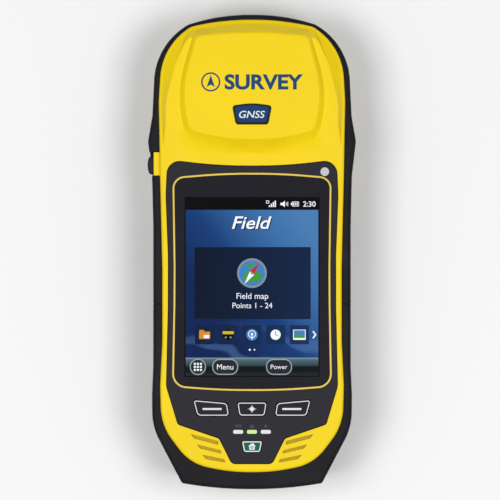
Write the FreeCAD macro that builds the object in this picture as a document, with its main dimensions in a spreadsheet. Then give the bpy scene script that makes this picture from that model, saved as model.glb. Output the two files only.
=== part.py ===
"""Handheld GNSS data collector: antenna head, touch screen, keys, battery pack and everything inside.

Millimetres. +Z points out of the screen, +Y towards the antenna head, +X to the user's right.
The origin lies on the resting plane of the four rear pads, under the middle of the object.
"""

import FreeCAD, Part
import math
import os
import re
import sys

Vector = FreeCAD.Vector
doc = FreeCAD.newDocument("DataCollector")

# ---------------------------------------------------------------- driving dimensions

DIMENSIONS = {
    # levels above the resting plane
    "rear_face": 1.2,
    "grip_face": 13.0,
    "parting": 33.0,
    "shelf_under": 44.6,
    "bezel_shelf": 46.6,
    "bumper_front": 46.4,
    "bezel_face": 48.5,
    "frame_face": 49.0,
    "band_top": 53.0,
    "dome_top": 55.8,
    # walls and clearances
    "wall": 2.4,
    "key_gap": 0.25,
    "seam_level": -25.6,
    # display stack
    "lcd_wide": 71.0,
    "lcd_long": 96.0,
    "lcd_thick": 4.2,
    "view_wide": 65.2,
    "view_long": 87.2,
    "view_middle": -17.2,
    "glass_thick": 1.6,
    "gasket_thick": 0.3,
    "chassis_thick": 1.4,
    # boards
    "board_wide": 66.0,
    "board_long": 98.0,
    "board_thick": 1.2,
    "board_level": 37.2,
    "board_middle": -16.0,
    "receiver_wide": 64.0,
    "receiver_long": 30.0,
    "receiver_level": 33.5,
    "receiver_middle": 78.0,
    # antenna
    "ground_wide": 58.0,
    "ground_long": 44.0,
    "patch_side": 40.0,
    "antenna_middle": 81.0,
    # keys
    "flange_low": 43.4,
    "flange_thick": 1.0,
    "key_top": 48.85,
    # battery
    "pack_wide": 64.0,
    "pack_long": 80.0,
    "pack_thick": 21.0,
    "pack_middle": -44.0,
    "pack_wall": 1.2,
    "lid_thick": 1.4,
    "cell_round": 9.1,
    "cell_long": 65.0,
    # latches
    "latch_offset": 17.0,
    # camera and speakers
    "camera_along": 94.0,
    "speaker_across": 19.6,
    "speaker_along": -96.6,
    "speaker_round": 6.6,
    "groove_deep": 1.5,
}

sheet = doc.addObject("Spreadsheet::Sheet", "Dims")
for row, (alias, value) in enumerate(DIMENSIONS.items(), start=1):
    sheet.set(f"A{row}", alias)
    sheet.set(f"B{row}", str(value))
    sheet.setAlias(f"B{row}", alias)
doc.recompute()
D = {alias: float(sheet.get(alias)) for alias in DIMENSIONS}


def linked(formula):
    """The formula with each dimension's name pointed at its cell of the sheet."""
    def cell(found):
        word = found.group()
        return f"Dims.{word}" if word in D else word
    return re.sub(r"[a-z][a-z_]+", cell, str(formula))


# ---------------------------------------------------------------- outlines
# A half outline is the right-hand side from the top centre to the bottom centre, as corners
# (x, y, radius). Straight runs join tangent arcs of those radii, and the left side mirrors it.

BUMPER_HALF = [
    (16.2, 117.0, 96), (31.5, 112.1, 8), (47.5, 101.7, 33), (49.15, 67.0, 8), (51.3, 54.6, 7),
    (49.3, 37.5, 20), (48.7, 12.0, 120), (48.7, -56.0, 90), (49.3, -70.0, 25), (49.2, -86.2, 30),
    (34.55, -114.05, 1.6), (17.3, -117.0, 190),
]
CASE_HALF = [
    (14.6, 114.3, 120), (30.2, 110.8, 8), (44.3, 100.5, 31), (45.9, 74.0, 60), (45.3, 36.0, 120),
    (44.15, -8.0, 160), (44.15, -44.0, 120), (45.2, -66.0, 30), (44.7, -85.2, 27),
    (30.5, -104.3, 24), (10.1, -108.4, 88),
]
BEZEL_HALF = [
    (16.6, 42.5, 240), (41.7, 45.6, 6.5), (42.5, 28.0, 60), (41.35, -2.0, 120), (41.4, -28.0, 120),
    (42.3, -66.0, 9), (36.6, -84.9, 2.2), (16.3, -91.8, 2.2), (10.0, -104.35, 3.2),
]
TRIM_HALF = [
    (14.5, 38.5, 300), (38.7, 36.4, 5.6), (38.05, -8.0, 150), (38.15, -26.0, 120),
    (38.9, -66.0, 6.6), (15.5, -67.9, 330),
]
# The antenna dome: foot and top of its outer band, then top and foot of its raised middle.
BAND_FOOT_HALF = [
    (14.4, 113.1, 99), (29.8, 109.7, 8), (43.2, 99.9, 29.8), (44.7, 74.0, 49), (43.9, 47.5, 5),
    (15.0, 46.6, 150),
]
BAND_TOP_HALF = [
    (12.0, 107.0, 80), (31.8, 105.0, 5), (37.6, 92.0, 40), (42.5, 73.0, 40), (41.9, 60.2, 6),
    (14.0, 59.2, 150),
]
DOME_TOP_HALF = [
    (10.0, 107.4, 70), (27.2, 106.0, 3.4), (34.2, 79.0, 56), (30.5, 59.9, 6), (13.2, 55.4, 90),
]
DOME_FOOT_HALF = [
    (10.6, 112.3, 90), (30.4, 109.2, 6), (41.6, 80.5, 60), (36.4, 54.0, 9), (13.6, 48.2, 100),
]

SOFT_KEY = [(12.2, -74.25, 0.9), (28.96, -72.7, 1.1), (26.9, -80.65, 1.0), (11.2, -80.65, 0.9)]
ACTION_KEY = [(-7.35, -73.85, 0.9), (7.35, -73.85, 0.9), (6.3, -80.65, 0.9), (-6.3, -80.65, 0.9)]
HOME_KEY = [(-5.0, -93.0, 1.2), (5.0, -93.0, 1.2), (3.9, -98.4, 1.2), (-3.9, -98.4, 1.2)]
SPEAKER_SLOTS = [
    [(16.7, -92.9, 0.2), (30.2, -89.4, 0.2), (28.5, -91.7, 0.4), (16.5, -94.9, 0.4)],
    [(15.6, -97.4, 0.2), (27.2, -94.5, 0.2), (25.6, -96.6, 0.4), (14.7, -99.2, 0.4)],
    [(13.7, -101.8, 0.2), (24.5, -99.6, 0.2), (22.7, -101.8, 0.4), (13.0, -103.6, 0.4)],
]
BADGE = [(-9.7, 71.6, 1.5), (0.0, 72.9, 30), (9.7, 71.6, 1.5), (7.9, 62.4, 1.6), (-7.9, 62.4, 1.6)]
LIGHT_SPOTS = {"left": -6.8, "middle": 0.0, "right": 6.8}
LIGHT_ALONG, LIGHT_WIDE, LIGHT_LONG = -88.5, 5.1, 2.0
SENSOR_SPOT = (35.8, 39.5, 2.1)


def whole(half):
    """Both sides of a half outline, clockwise from its top right corner."""
    return half + [(-x, y, radius) for x, y, radius in reversed(half)]


def flipped(corners):
    """The outline mirrored to the left-hand side."""
    return [(-x, y, radius) for x, y, radius in reversed(corners)]


def direction(a, b):
    """Unit vector from corner a to corner b."""
    length = math.hypot(b[0] - a[0], b[1] - a[1])
    return (b[0] - a[0]) / length, (b[1] - a[1]) / length


def grown(corners, amount):
    """A clockwise outline moved outwards by amount, or inwards if it is negative."""
    moved = []
    for before, here, after in zip(corners[-1:] + corners[:-1], corners, corners[1:] + corners[:1]):
        ux, uy = direction(before, here)
        vx, vy = direction(here, after)
        turn = ux * vy - uy * vx
        share = amount / (1 + ux * vx + uy * vy)
        x = here[0] + share * (-uy - vy)
        y = here[1] + share * (ux + vx)
        radius = here[2] + (amount if turn < 0 else -amount)
        moved.append((x, y, max(radius, 0.15)))
    return moved


def edges_of(corners):
    """Lines and tangent arcs of an outline, as sketch geometry in the plane z = 0."""
    points = []
    for before, here, after in zip(corners[-1:] + corners[:-1], corners, corners[1:] + corners[:1]):
        ux, uy = direction(before, here)
        vx, vy = direction(here, after)
        turn = math.atan2(ux * vy - uy * vx, ux * vx + uy * vy)
        reach = here[2] * math.tan(abs(turn) / 2)
        start = Vector(here[0] - ux * reach, here[1] - uy * reach, 0)
        end = Vector(here[0] + vx * reach, here[1] + vy * reach, 0)
        bulge = here[2] / math.cos(turn / 2) - here[2]
        inward = Vector(vx - ux, vy - uy, 0).normalize()
        points.append((start, Vector(here[0], here[1], 0) + inward * bulge, end))
    edges = []
    for (start, middle, end), following in zip(points, points[1:] + points[:1]):
        edges.append(Part.Arc(start, middle, end))
        if end.distanceToPoint(following[0]) > 1e-5:
            edges.append(Part.LineSegment(end, following[0]))
    return edges


# ---------------------------------------------------------------- building sub-parts

NODES = []


class Piece:
    """A PartDesign body whose features take their sizes from the sheet."""

    def __init__(self, label, keep=True):
        self.body = doc.addObject("PartDesign::Body", label)
        self.body.Label = label
        self.body.AllowCompound = True
        self.count = 0
        if keep:
            NODES.append(self.body)

    def feature(self, kind):
        self.count += 1
        made = self.body.newObject(f"PartDesign::{kind}", f"{self.body.Label}_{self.count}")
        if hasattr(made, "Refine"):
            made.Refine = False
        return made

    def box(self, size, middle, cut=False):
        """A block by its size, placed by the middle of its plan and its lowest level."""
        block = self.feature("SubtractiveBox" if cut else "AdditiveBox")
        for name, formula in zip(("Length", "Width", "Height"), size):
            block.setExpression(name, linked(formula))
        at = (f"{middle[0]} - ({size[0]}) / 2", f"{middle[1]} - ({size[1]}) / 2", middle[2])
        for axis, formula in zip("xyz", at):
            block.setExpression(f"Placement.Base.{axis}", linked(formula))
        return self

    def rod(self, radius, length, start, axis="z", cut=False):
        """A cylinder from start along an axis."""
        made = self.feature("SubtractiveCylinder" if cut else "AdditiveCylinder")
        made.setExpression("Radius", linked(radius))
        made.setExpression("Height", linked(length))
        turns = {"x": (Vector(0, 1, 0), 90), "y": (Vector(1, 0, 0), -90)}
        if axis in turns:
            made.Placement = FreeCAD.Placement(Vector(), FreeCAD.Rotation(*turns[axis]))
        for side, formula in zip("xyz", start):
            made.setExpression(f"Placement.Base.{side}", linked(formula))
        return self

    def sketch(self, geometry, level):
        """A sketch parallel to the resting plane, at a level."""
        drawn = self.body.newObject("Sketcher::SketchObject", f"{self.body.Label}_outline_{self.count}")
        plane = next(f for f in self.body.Origin.OriginFeatures if f.Role == "XY_Plane")
        drawn.AttachmentSupport = (plane, [""])
        drawn.MapMode = "FlatFace"
        drawn.setExpression("AttachmentOffset.Base.z", linked(level))
        drawn.addGeometry(geometry, False)
        return drawn

    def pad(self, geometry, low, height):
        """Outlines raised from their level."""
        drawn = self.sketch(geometry, low)
        made = self.feature("Pad")
        made.Profile = drawn
        made.setExpression("Length", linked(height))
        return self

    def pocket(self, geometry, low, height):
        """Outlines cut away from their level upwards."""
        drawn = self.sketch(geometry, low)
        made = self.feature("Pocket")
        made.Profile = drawn
        made.Reversed = True
        made.setExpression("Length", linked(height))
        return self

    def loft(self, lower, low_level, upper, high_level):
        """A straight-sided solid between two outlines."""
        first = self.sketch(edges_of(lower), low_level)
        self.count += 1
        second = self.sketch(edges_of(upper), high_level)
        made = self.feature("AdditiveLoft")
        made.Profile = first
        made.Sections = [second]
        made.Ruled = True
        return self

    def soften(self, radius, wanted):
        """Rounds the edges of the body so far that the test picks."""
        doc.recompute()
        base = self.body.Tip
        names = [f"Edge{i}" for i, edge in enumerate(base.Shape.Edges, start=1) if wanted(edge)]
        made = self.feature("Fillet")
        made.Base = (base, names)
        made.Radius = radius
        return self


def at_level(z):
    """A test for edges that lie in the plane of that level."""
    return lambda edge: abs(edge.BoundBox.ZMin - z) < 0.01 and abs(edge.BoundBox.ZMax - z) < 0.01


def rectangle(left, right, near, far, radius=0.0):
    """A rectangle from its four sides, with rounded corners where a radius is given."""
    corners = [(left, far, radius), (right, far, radius), (right, near, radius), (left, near, radius)]
    if radius:
        return edges_of(corners)
    points = [Vector(*corner[:2], 0) for corner in corners]
    return [Part.LineSegment(a, b) for a, b in zip(points, points[1:] + points[:1])]


def discs(radius, spots):
    """Circles of one radius at each spot."""
    return [Part.Circle(Vector(x, y, 0), Vector(0, 0, 1), radius) for x, y in spots]


def both_sides(spots):
    """Each spot and its mirror image."""
    return [(side * x, y) for x, y in spots for side in (-1, 1)]


def prism(name, geometry, low, height, along="z"):
    """An extrusion along an axis; along X or Y it reaches equally to both sides of the middle."""
    drawn = doc.addObject("Sketcher::SketchObject", f"{name}_outline")
    turns = {"z": (Vector(0, 0, 1), 0), "x": (Vector(1, 1, 1), 120), "y": (Vector(1, 0, 0), 90)}
    drawn.Placement = FreeCAD.Placement(Vector(), FreeCAD.Rotation(*turns[along]))
    drawn.addGeometry(geometry, False)
    drawn.setExpression("Placement.Base.z", linked(low))
    solid = doc.addObject("Part::Extrusion", name)
    solid.Base = drawn
    solid.DirMode = "Normal"
    solid.Solid = True
    solid.Symmetric = along != "z"
    solid.setExpression("LengthFwd", linked(height))
    return solid


def rounded(name, base, choices):
    """Part::Fillet of the edges that each test picks, with that test's radius."""
    doc.recompute()
    made = doc.addObject("Part::Fillet", name)
    made.Base = base
    edges = list(enumerate(base.Shape.Edges, start=1))
    made.Edges = [(i, radius, radius) for wanted, radius in choices for i, edge in edges if wanted(edge)]
    return made


def less(name, base, tool, keep=False):
    """One solid with another cut away."""
    made = doc.addObject("Part::Cut", name)
    made.Base = getattr(base, "body", base)
    made.Tool = getattr(tool, "body", tool)
    made.Refine = False
    made.Label = name
    if keep:
        NODES.append(made)
    return made


def common(name, one, other):
    """What two solids share."""
    made = doc.addObject("Part::Common", name)
    made.Base = one
    made.Tool = other
    made.Refine = False
    return made


# ---------------------------------------------------------------- where the screws are

CASE_SCREWS = both_sides([(34.5, 98.5), (38.8, 36.0), (34.6, -88.6)])
CHASSIS_SCREWS = both_sides([(38.4, -56.0), (38.4, 18.0)])
BOARD_SCREWS = both_sides([(30.0, -61.0), (30.0, 29.0)])
ANTENNA_SCREWS = both_sides([(25.5, 63.5), (25.5, 98.5)])
RECEIVER_SCREWS = both_sides([(28.5, 67.0), (28.5, 87.0)])
COVER_SCREWS = both_sides([(24.0, 36.0), (24.0, 78.0)])
LATCH_SCREWS = [(0.0, 3.0), (0.0, 14.0)]
BUTTON_ALONG, BUTTON_LEVEL = 42.75, 40.0
BUTTON = [
    (-50.9, 47.1, 1.9), (-47.4, 47.4, 0.2), (-47.4, 38.1, 0.2), (-50.9, 38.4, 1.9),
    (-51.7, BUTTON_ALONG, 12),
]
ANTENNA_PORT = (-24.0, 94.0)
STRAP_BARS = (23.6, -93.35)
FLASH_SPOT = (12.5, 94.0)
KEYS = {
    "left_soft_key": flipped(SOFT_KEY), "action_key": ACTION_KEY,
    "right_soft_key": SOFT_KEY, "home_key": HOME_KEY,
}
KEY_MIDDLES = {
    "left_soft_key": (-19.8, -77.1), "action_key": (0.0, -77.2),
    "right_soft_key": (19.8, -77.1), "home_key": (0.0, -95.7),
}


def light_slots(extra):
    """The outlines of the three status lights, each side moved out by extra."""
    shapes = []
    for across in LIGHT_SPOTS.values():
        half, rise = LIGHT_WIDE / 2 + extra, LIGHT_LONG / 2 + extra
        shapes += rectangle(across - half, across + half, LIGHT_ALONG - rise, LIGHT_ALONG + rise, 0.9)
    return shapes


def key_holes(extra):
    """The outlines of the four keys, moved out by extra."""
    return [edge for key in KEYS.values() for edge in edges_of(grown(key, extra))]


def sound_ways():
    """The narrow openings along the upper edge of each speaker groove."""
    shapes = []
    for slot in SPEAKER_SLOTS:
        (left, left_y, _), (right, right_y, _) = slot[:2]
        way = [
            (left + 0.7, left_y - 0.15, 0.2), (right - 0.9, right_y - 0.25, 0.2),
            (right - 1.5, right_y - 0.95, 0.2), (left + 0.7, left_y - 0.75, 0.2),
        ]
        shapes += edges_of(way) + edges_of(flipped(way))
    return shapes


def inset_ring(outer, inner):
    """The case outline moved in by two distances, as the two sides of a ring."""
    return edges_of(grown(whole(CASE_HALF), -outer)) + edges_of(grown(whole(CASE_HALF), -inner))


# ---------------------------------------------------------------- casings


def front_case():
    """Yellow shell: frame round the screen, antenna dome, speaker slots, posts for the screws."""
    case = Piece("front_case")
    case.pad(edges_of(whole(CASE_HALF)), "parting", "frame_face - parting")
    case.soften(1.6, at_level(D["frame_face"]))
    case.loft(whole(BAND_FOOT_HALF), "frame_face - 0.2", whole(BAND_TOP_HALF), "band_top")
    case.loft(whole(DOME_FOOT_HALF), "frame_face - 0.2", whole(DOME_TOP_HALF), "dome_top")
    case.soften(1.8, at_level(D["dome_top"]))
    # boss round the power button
    case.pad(rectangle(-48.4, -44.0, 37.7, 49.1), "parting", "bumper_front - parting")
    # hollow, higher under the head and highest under the dome
    head = [(0.0, 108.6, 60), (28.0, 105.5, 8), (40.6, 96.5, 22), (42.2, 50.5, 4)]
    ceiling = head + [(-x, y, radius) for x, y, radius in reversed(head[1:])]
    case.pocket(edges_of(grown(whole(CASE_HALF), -D["wall"])), "parting - 1", "shelf_under - parting + 1")
    case.pocket(edges_of(ceiling), "shelf_under - 0.5", "2.7")
    case.pocket(edges_of(grown(whole(DOME_TOP_HALF), -0.5)), "shelf_under", "dome_top - shelf_under - 2.4")
    # posts
    case.pad(discs(3.4, CASE_SCREWS[:2]), "parting", "14.2")
    case.pad(discs(3.4, CASE_SCREWS[2:]), "parting", "shelf_under - parting + 0.3")
    case.pad(discs(2.3, CHASSIS_SCREWS), "shelf_under - 2.4", "2.7")
    case.pad(discs(2.4, ANTENNA_SCREWS), "46.6", "dome_top - 2 - 46.6")
    # openings of the front
    case.pocket(edges_of(whole(BEZEL_HALF)), "bezel_shelf", "8")
    view = rectangle(-35.7, 35.7, D["view_middle"] - 48.2, D["view_middle"] + 48.2)
    sensor = discs(SENSOR_SPOT[2] - 0.6, [SENSOR_SPOT[:2]])
    through = view + key_holes(D["key_gap"]) + light_slots(0.0) + sensor + sound_ways()
    case.pocket(through, "shelf_under - 2.6", "8")
    grooves = [edge for slot in SPEAKER_SLOTS for side in (slot, flipped(slot)) for edge in edges_of(side)]
    case.pocket(grooves, "frame_face - groove_deep", "3")
    case.pocket(edges_of(grown(BADGE, 0.1)), "dome_top - 0.7", "2")
    # screw holes
    case.pocket(discs(1.5, CASE_SCREWS), "parting - 0.3", "9.3")
    case.pocket(discs(1.0, CHASSIS_SCREWS), "shelf_under - 2.6", "2.8")
    case.pocket(discs(1.0, ANTENNA_SCREWS), "46.4", "4.6")
    # shallow seat for the power button and a way through for its stem, and the seal's groove
    case.box(("2.0", "9.7", "10.4"), ("-47.4", BUTTON_ALONG, BUTTON_LEVEL - 5.2), cut=True)
    case.box(("8", "3.4", "4.4"), ("-44", BUTTON_ALONG, BUTTON_LEVEL - 2.2), cut=True)
    case.pocket(inset_ring(0.7, 1.7), "parting - 0.5", "0.9")


def grip_scoop(name, face, radius, half_width, head_end, base_end):
    """What the waist of the grip takes off the rear: a face with rounded sides, and end ramps."""
    middle = half_width - radius
    bend = radius * (1 - math.sqrt(0.5))
    side = [(half_width, face + radius), (half_width - bend, face + bend), (middle, face)]
    left = [Vector(-x, z, 0) for x, z in side]
    right = [Vector(x, z, 0) for x, z in side]
    rim = [(-70, side[0][1]), (-70, -6), (70, -6), (70, side[0][1])]
    corners = [Vector(x, z, 0) for x, z in rim]
    section = [Part.Arc(*left), Part.LineSegment(left[2], right[2]), Part.Arc(*reversed(right))]
    section += [Part.LineSegment(right[0], corners[3])]
    section += [Part.LineSegment(a, b) for a, b in zip(corners[3:0:-1], corners[2::-1])]
    section += [Part.LineSegment(corners[0], left[0])]
    across = prism(f"{name}_section", section, "0", "400", "y")
    lean = 0.45
    profile = [
        (base_end + lean * 40, 41.0, 1), (head_end - lean * 40, 41.0, 1),
        (head_end, 1.0, 3), (head_end + 4, -8.0, 1), (base_end - 4, -8.0, 1), (base_end, 1.0, 3),
    ]
    along = prism(f"{name}_profile", edges_of(profile), "0", "200", "x")
    return common(name, across, along)


def rear_case():
    """Yellow rear shell with the battery bay, the latches' house, and bosses for what it carries."""
    column = prism("rear_column", edges_of(whole(CASE_HALF)), "rear_face", "40 - rear_face")
    soft = rounded("rear_soft", column, [(at_level(D["rear_face"]), 4.5)])
    scoop = grip_scoop("rear_scoop", D["grip_face"], 9.0, 45.9, 21.5, -91.0)
    solid = less("rear_solid", soft, scoop)
    inside = edges_of(grown(whole(CASE_HALF), -D["wall"]))
    inner = prism("rear_inside", inside, "rear_face + wall", "50")
    inner_scoop = grip_scoop("rear_inner_scoop", D["grip_face"] + D["wall"], 6.6, 43.5, 24.1, -93.6)
    hollow = less("rear_hollow", inner, inner_scoop)
    ribs = Piece("rear_ribs", keep=False)
    ribs.pad(rectangle(-34.0, 34.0, -86.0, -2.0), "12", "35.7 - 12")
    ribs.pad(rectangle(-30.0, 30.0, -2.5, 18.0), "12", "12")
    ribs.pad(discs(3.7, CASE_SCREWS), "0", "parting")
    ribs.pad(discs(2.6, RECEIVER_SCREWS), "0", "receiver_level")
    ribs.pad(rectangle(-29.5, 29.5, 30.5, 83.5), "0", "6")
    ribs.pad(rectangle(-21.5, 21.5, 36.0, 78.0), "5", "10.6")
    ribs.pad(rectangle(-19.0, 19.0, 12.0, 33.0), "0", "12")
    ribs.pad(rectangle(-19.0, 19.0, -108.0, -84.0), "0", "12")
    ribs.pad(rectangle(-8.0, 8.0, -105.0, -97.0), "0", "22")
    ribs.pad(discs(8.5, [(0.0, D["camera_along"])]), "0", "9")
    ribs.pad(discs(5.0, [FLASH_SPOT]), "0", "6")
    ribs.pad(discs(8.0, [ANTENNA_PORT]), "0", "12")
    kept = less("rear_kept", hollow, ribs)
    walls = less("rear_walls", solid, kept)
    cuts = Piece("rear_cuts", keep=False)
    # everything of the wall above the parting plane, and the seal's groove
    cuts.pad(inset_ring(-3.0, 3.0), "parting", "12")
    cuts.pad(inset_ring(0.7, 1.7), "parting - 0.6", "1.6")
    # battery bay, contacts, latches
    cuts.pad(rectangle(-32.2, 32.2, -84.2, -3.8, 3.1), "5", "34.2 - 5")
    cuts.pad(rectangle(-6.2, 6.2, -80.2, -73.8), "34", "3")
    for side in (-1, 1):
        middle = side * D["latch_offset"]
        cuts.pad(rectangle(middle - 7.2, middle + 7.2, -0.4, 16.0), "15.6", "11")
        cuts.pad(rectangle(middle - 4.25, middle + 4.25, -5.0, 0.5), "19.25", "3.5")
        cuts.pad(rectangle(middle - 5.8, middle + 5.8, 0.6, 11.6, 1.5), "11", "5")
    cuts.pad(discs(1.0, LATCH_SCREWS), "17", "8")
    # screws of the case and of the receiver
    cuts.pad(discs(3.1, CASE_SCREWS), "-1", "21")
    cuts.pad(discs(1.7, CASE_SCREWS), "19", "15")
    cuts.pad(discs(1.0, RECEIVER_SCREWS), "27", "8")
    # accessory bay behind the rear cover
    cuts.pad(rectangle(-27.15, 27.15, 32.85, 81.15, 3.15), "-1", "4.2")
    cuts.pad(rectangle(-19.5, 19.5, 38.0, 76.0, 2), "2", "12")
    cuts.pad(rectangle(-23, 23, 35.5, 78.5, 3) + rectangle(-21.2, 21.2, 37.2, 76.8, 1.3), "3", "1")
    cuts.pad(discs(1.1, COVER_SCREWS), "3", "2.6")
    # strap bars
    cuts.pad(rectangle(-15, 15, 15.0, 30.0, 2) + rectangle(-15, 15, -99.5, -87.2, 2), "-1", "10")
    for along in STRAP_BARS:
        cuts.rod("1.5", "34", ("-17", along, "3.0"), "x")
    # camera, flash, antenna port, rear pads
    cuts.pad(discs(6.2, [(0.0, D["camera_along"])]), "-1", "11")
    cuts.pad(discs(7.0, [(0.0, D["camera_along"])]) + discs(3.2, [FLASH_SPOT]), "-1", "3.4")
    cuts.pad(discs(2.2, [FLASH_SPOT]), "2", "5")
    cuts.pad(discs(5.2, [ANTENNA_PORT]), "-1", "8")
    cuts.pad(discs(2.6, [ANTENNA_PORT]), "6", "7")
    cuts.pad(pad_outlines(0.05), "-1", "3")
    # data port and card slot through the walls
    cuts.box(("12.4", "9", "6.4"), ("0", "-109", "21.8"))
    cuts.box(("8", "20", "5.2"), ("44", "15", "21.4"))
    less("rear_case", walls, cuts, keep=True)


def pad_outlines(extra):
    """The four resting pads."""
    shapes = []
    for side in (-1, 1):
        for across, along, half, long_half in ((35.5, 76.0, 3.0, 12.0), (22.0, -96.5, 4.5, 3.0)):
            left, right = side * across - half - extra, side * across + half + extra
            shapes += rectangle(left, right, along - long_half - extra, along + long_half + extra, 1.5)
    return shapes


def bumpers():
    """Black rubber round the head and round the base, meeting at a seam on each side."""
    column = prism("bumper_column", edges_of(whole(BUMPER_HALF)), "6", "bumper_front - 6")
    soft = rounded("bumper_soft", column, [(at_level(D["bumper_front"]), 2.2), (at_level(6.0), 2.0)])
    scoop = grip_scoop("bumper_scoop", D["grip_face"] - 1.0, 11.0, 49.4, 20.5, -90.0)
    band = less("bumper_band", soft, scoop)
    plug_column = prism("plug_column", edges_of(grown(whole(CASE_HALF), 0.05)), "-2", "60")
    plug_scoop = grip_scoop("plug_scoop", D["grip_face"], 9.0, 45.95, 21.5, -91.0)
    plug = less("case_plug", plug_column, plug_scoop)
    ring = less("bumper_ring", band, plug)
    base_part = Piece("head_bumper_cuts", keep=False)
    base_part.pad(rectangle(-60, 60, -130, D["seam_level"] + 0.15), "-5", "70")
    base_part.pad(rectangle(-60, -44.95, 37.3, 49.6), "32.9", "30")
    base_part.pad(rectangle(-38.0, 38.0, -60, 40), "-5", "20")
    base_part.box(("20", "32", "14"), ("55.3", "15", "17"))
    base_part.box(("20", "21", "6"), ("50", "15", "21"))
    base_part.rod("0.7", "36", ("46.9", "-3", "18.8"), "y")
    less("head_bumper", ring, base_part, keep=True)
    head_part = Piece("base_bumper_cuts", keep=False)
    head_part.pad(rectangle(-60, 60, D["seam_level"] - 0.15, 130), "-5", "70")
    head_part.pad(rectangle(-38.0, 38.0, -93.0, -20), "-5", "20")
    head_part.box(("31.2", "20", "16"), ("0", "-120.4", "17"))
    head_part.box(("14", "20", "8"), ("0", "-112", "21"))
    head_part.rod("0.7", "36", ("-18", "-114.9", "18.9"), "x")
    less("base_bumper", ring, head_part, keep=True)


# ---------------------------------------------------------------- screen and keys


def screen():
    """Dark bezel, its bright trim, the touch window, the display and the plate behind it."""
    bezel = Piece("screen_bezel")
    holes = edges_of(grown(whole(TRIM_HALF), 0.5)) + key_holes(D["key_gap"]) + light_slots(0.0)
    holes += discs(SENSOR_SPOT[2] + 0.05, [SENSOR_SPOT[:2]])
    bezel.pad(edges_of(grown(whole(BEZEL_HALF), -0.1)), "bezel_shelf", "bezel_face - bezel_shelf")
    bezel.soften(0.5, at_level(D["bezel_face"]))
    bezel.pocket(holes, "bezel_shelf - 1", "5")
    sides = edges_of(grown(whole(TRIM_HALF), 0.45)) + edges_of(grown(whole(TRIM_HALF), -0.45))
    Piece("screen_trim").pad(sides, "bezel_shelf", "bezel_face + 0.25 - bezel_shelf")
    pane = Piece("touch_window")
    edge = edges_of(grown(whole(TRIM_HALF), -0.5))
    pane.pad(edge, "bezel_face - glass_thick", "glass_thick")
    rim = edge + edges_of(grown(whole(TRIM_HALF), -2.4))
    Piece("window_gasket").pad(rim, "bezel_shelf", "gasket_thick")
    Piece("light_sensor_window").pad(discs(SENSOR_SPOT[2], [SENSOR_SPOT[:2]]), "bezel_shelf", "2")
    panel = Piece("lcd_module")
    panel.box(("lcd_wide", "lcd_long", "lcd_thick"), ("0", "view_middle", "42.3"))
    panel.box(("view_wide", "view_long", "1"), ("0", "view_middle", "42.3 + lcd_thick - 0.3"), cut=True)
    plate = Piece("chassis")
    plate.pad(rectangle(-40, 40, -66, 31, 3), "42.2 - chassis_thick", "chassis_thick")
    plate.pad(discs(2.0, BOARD_SCREWS), "board_level + board_thick", "3")
    plate.pocket(rectangle(-26, 26, -56, -22, 4) + rectangle(-26, 26, -12, 22, 4), "39", "4")
    plate.pocket(discs(1.05, CHASSIS_SCREWS) + discs(0.95, BOARD_SCREWS), "38", "5")


def keys():
    """Three keys under the screen and the home key, their silicone surround and their board."""
    for name, outline in KEYS.items():
        key = Piece(name)
        middle = KEY_MIDDLES[name]
        key.pad(edges_of(outline), "flange_low", "key_top - flange_low")
        key.soften(0.5, at_level(D["key_top"]))
        key.pad(edges_of(grown(outline, 0.9)), "flange_low", "flange_thick")
        key.pad(discs(1.5, [middle]), "flange_low - 0.5", "0.6")
    surround = Piece("keypad_gasket")
    surround.pad(rectangle(-32, 32, -84.5, -69.8, 1.5), "41.6", "3")
    surround.pad(rectangle(-11.5, 11.5, -103, -84.4), "41.6", "3")
    surround.pocket(key_holes(1.4) + light_slots(0.05), "40", "6")
    board = Piece("key_board")
    board.pad(rectangle(-31, 31, -84.5, -69.8, 1.5), "40.4", "1.2")
    board.pad(rectangle(-11.5, 11.5, -103, -84.4), "40.4", "1.2")
    board.pad(discs(3.0, KEY_MIDDLES.values()), "41.6", "0.4")
    for side, across in LIGHT_SPOTS.items():
        half, rise = LIGHT_WIDE / 2 - 0.1, LIGHT_LONG / 2 - 0.1
        outline = rectangle(across - half, across + half, LIGHT_ALONG - rise, LIGHT_ALONG + rise, 0.8)
        Piece(f"status_light_{side}").pad(outline, "41.6", "48.7 - 41.6").soften(0.3, at_level(48.7))


# ---------------------------------------------------------------- inside the case


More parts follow.
